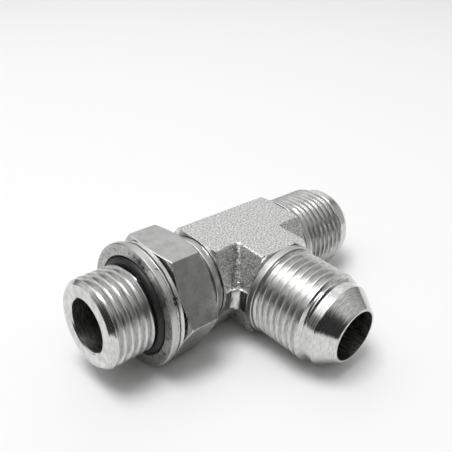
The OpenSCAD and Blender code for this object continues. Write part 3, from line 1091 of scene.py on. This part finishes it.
# The seal is a round section carried round the neck
def buildSeal():
    angle = roundAngles(129)
    turn = np.linspace(0, fullTurn, 25)[:, None]
    centre = -(sealLow[0] + sealHigh[0]) / 2
    station = centre + sealSection / 2 * np.sin(turn)
    radius = sealMiddle + sealSection / 2 * np.cos(turn)
    piece = skinObject("rubber_seal", aroundEnd("stud", station, radius, angle))
    piece.data.materials.append(nitrileRubber())
    smoothShade(piece, 60, weighted=False)
    return piece


handOver(buildSeal(), "seal_pack", "o_ring")
print("seal pack built")


# Camera, floor and light

view = {
    "place": (-94.83, -87.91, 83.28),
    "aim": (0.757, 5.459, 7.117),
    "lensMm": 47.17,
    "sensorMm": 36,
    "clipStart": 0.005,
    "restingRim": 0.6,  # from the middle of the retaining ring's rim to where it touches the floor
    "restingFlare": 30.28,  # front crest of a flare thread, out from the crossing
}


# The tee lies on the rim of its retaining ring and on the front crests of its two flare
# threads. Each pass finds the lowest points of these circles and the plane through them.
def restingPlane():
    flareFront = view["restingFlare"]
    circles = [
        (((ringLow[0] + ringHigh[0]) / 2 - view["restingRim"], 0, 0), (1, 0, 0), ringHigh[1]),
        ((flareFront, 0, 0), (1, 0, 0), mountRadius("run_flare_thread")),
        ((0, -flareFront, 0), (0, 1, 0), mountRadius("branch_flare_thread")),
    ]
    up = np.array([0.0, 0.0, 1.0])
    for attempt in range(30):
        low = []
        for centre, axis, radius in circles:
            across = up - np.array(axis) * up.dot(axis)
            low.append(np.array(centre) - radius * across / np.linalg.norm(across))
        up = np.cross(low[1] - low[0], low[2] - low[0])
        up = up / np.linalg.norm(up) * np.sign(up[2])
    return up, up.dot(low[0])


floorUp, floorLevel = restingPlane()
print("floor slope", floorUp, "level", floorLevel)


def makeCamera():
    place, aim = np.array(view["place"]), np.array(view["aim"])
    back = (place - aim) / np.linalg.norm(place - aim)
    right = np.cross(floorUp, back)
    right = right / np.linalg.norm(right)
    up = np.cross(back, right)
    camera = bpy.data.objects.new("camera", bpy.data.cameras.new("camera"))
    camera.data.lens = view["lensMm"]
    camera.data.sensor_width = view["sensorMm"]
    camera.data.clip_start = view["clipStart"]
    matrix = np.eye(4)
    matrix[:3, 0], matrix[:3, 1], matrix[:3, 2], matrix[:3, 3] = right, up, back, place * mm
    camera.matrix_world = Matrix(matrix.tolist())
    bpy.context.scene.collection.objects.link(camera)
    bpy.context.scene.camera = camera


makeCamera()

# Directions in the studio are degrees round the floor from +X and degrees above it
studio = {
    "floorHalf": 900.0,
    "floorColour": "fafafa",
    "worldDim": 0.2,  # what the white room would add on matt surfaces
    "lampAzimuth": 166,
    "lampElevation": 79,
    "lampDistance": 1200.0,
    "lampAngle": 14,  # half the angle that the softbox fills
    "lampWatts": 7.5,
    "domeRadius": 1500.0,
    "domeDim": 0.65,  # how much of the dome reaches matt surfaces
    "glowLevel": 1.9,  # the ceiling that the softbox lights round itself
    "glowAngle": 38,
    "walls": (
        {"azimuth": 39, "width": 35, "level": 0.9, "foot": -4, "top": 65},
        {"azimuth": 130, "width": 21, "level": 0.73, "foot": -4, "top": 60},
        {"azimuth": 326, "width": 24, "level": 0.49, "foot": -4, "top": 65},
        {"azimuth": 286, "width": 27, "level": 0.4, "foot": 36, "top": 70},
    ),
    "wallFade": 16,
    "darkLevel": 0.04,  # the unlit side of the room
    "cardAzimuth": 222,
    "cardDistance": 118.0,
    "cardWidth": 120.0,
    "cardHeight": 22.0,
    "cardColour": "2c2c2c",
}


# A flat sheet of a few faces, lying across a direction at some place, for the stage
def stageSheet(name, centre, facing, width, height):
    facing = np.array(facing, float) / np.linalg.norm(facing)
    sideways = np.cross((0, 0, 1) if abs(facing[2]) < 0.9 else (0, 1, 0), facing)
    sideways = sideways / np.linalg.norm(sideways)
    upwards = np.cross(facing, sideways)
    share = np.linspace(-0.5, 0.5, 5)
    across, along = np.meshgrid(share * width, share * height)
    points = np.array(centre) + across[..., None] * sideways + along[..., None] * upwards
    sheet = skinObject(name, points)
    return sheet


# Chalky paint or flock without any shine, for the stage
def mattPaint(name, colour):
    material, tree = newMaterial(name)
    return finishMaterial(material, {"Base Color": colour, "Roughness": 0.9, "Specular IOR Level": 0.0})


# White painted board under the part: it keeps the shadow
def makeFloor():
    centre = floorUp * floorLevel
    size = 2 * studio["floorHalf"]
    floor = stageSheet("floor", centre, floorUp, size, size)
    floor.data.materials.append(mattPaint("matt white board", studio["floorColour"]))


# The way along the floor that the studio counts its degrees from
def floorAcross():
    across = np.cross((0, 1, 0), floorUp)
    return across / np.linalg.norm(across)


# A direction of the studio as a vector in the object's frame
def studioDirection(azimuth, elevation):
    across = floorAcross()
    turn, rise = np.radians(azimuth), np.radians(elevation)
    level = np.cos(rise)[..., None] * (
        np.cos(turn)[..., None] * across + np.sin(turn)[..., None] * np.cross(floorUp, across))
    return level + np.sin(rise)[..., None] * floorUp


# How bright the studio looks from the object in one direction: pale walls with soft
# edges, dark towards the camera, and a ceiling that glows round the softbox
def studioLevel(azimuth, elevation):
    lamp = studioDirection(studio["lampAzimuth"], studio["lampElevation"])
    apart = np.degrees(np.arccos(np.clip(studioDirection(azimuth, elevation) @ lamp, -1, 1)))
    walls = np.zeros_like(azimuth)
    for wall in studio["walls"]:
        aside = (azimuth - wall["azimuth"] + 180) % 360 - 180
        height = smoothStep(elevation, wall["foot"] - 1.5, wall["foot"] + 1.5)
        height = height * (1 - smoothStep(elevation, wall["top"] - studio["wallFade"], wall["top"]))
        walls = walls + wall["level"] * height * np.exp(-(aside / wall["width"]) ** 4)
    glow = studio["glowLevel"] * np.exp(-(apart / studio["glowAngle"]) ** 2)
    return studio["darkLevel"] + walls + glow * smoothStep(elevation, 30, 39)


# Walls and ceiling are one dome round the stage, which the camera doesn't see
def makeDome():
    azimuth, elevation = np.meshgrid(np.linspace(0, 360, 121), np.linspace(-2, 90, 93))
    dome = skinObject("studio_dome", studioDirection(azimuth, elevation) * studio["domeRadius"])
    place = pointPlaces(dome)
    place = place / np.linalg.norm(place, axis=1, keepdims=True)
    across = floorAcross()
    azimuth = np.degrees(np.arctan2(place @ np.cross(floorUp, across), place @ across))
    level = studioLevel(azimuth, np.degrees(np.arcsin(np.clip(place @ floorUp, -1, 1))))
    markPoints(dome, level=level)
    material, tree = newMaterial("painted studio wall")
    mirrored = addNode(tree, "LightPath").outputs["Is Glossy Ray"]
    share = addNode(tree, "MapRange", {"Value": mirrored, "To Min": studio["domeDim"]})
    strength = addNode(tree, "Math", {0: readMarks(tree, "level")[0], 1: share}, operation="MULTIPLY")
    addNode(tree, "OutputMaterial", {"Surface": addNode(tree, "Emission", {"Strength": strength})})
    dome.data.materials.append(material)
    dome.visible_camera = False


# White round the object for the eye and for mirrors, a dimmer white for matt surfaces
def makeWorld():
    world = bpy.data.worlds.new("white room")
    bpy.context.scene.world = world
    world.use_nodes = True
    tree = world.node_tree
    tree.nodes.clear()
    path = addNode(tree, "LightPath").outputs
    seen = path["Is Camera Ray"]
    for other in ("Is Glossy Ray", "Is Transmission Ray"):
        seen = addNode(tree, "Math", {0: seen, 1: path[other]}, operation="MAXIMUM")
    level = addNode(tree, "MapRange", {"Value": seen, "To Min": studio["worldDim"]})
    sky = addNode(tree, "Background", {"Color": "ffffff", "Strength": level})
    addNode(tree, "OutputWorld", {"Surface": sky})


# A low grey card on the floor under the lens, which darkens what the ends mirror there
def makeCard():
    towards = studioDirection(studio["cardAzimuth"], 0)
    centre = floorUp * (floorLevel + studio["cardHeight"] / 2) + towards * studio["cardDistance"]
    card = stageSheet("grey_card", centre, towards, studio["cardWidth"], studio["cardHeight"])
    card.data.materials.append(mattPaint("grey flock", studio["cardColour"]))
    card.visible_camera = False
    card.visible_shadow = False
    card.visible_diffuse = False


def makeLamp():
    direction = studioDirection(studio["lampAzimuth"], studio["lampElevation"])
    lamp = bpy.data.lights.new("overhead softbox", "AREA")
    lamp.shape = "DISK"
    lamp.size = 2 * studio["lampDistance"] * slopeOf(studio["lampAngle"]) * mm
    lamp.energy = studio["lampWatts"]
    holder = bpy.data.objects.new("overhead softbox", lamp)
    holder.location = Vector(direction * studio["lampDistance"] * mm)
    holder.rotation_euler = Vector(direction).to_track_quat("Z", "Y").to_euler()
    bpy.context.scene.collection.objects.link(holder)


makeFloor()
makeWorld()
makeLamp()
makeDome()
makeCard()
bpy.context.scene.view_settings.view_transform = "Standard"
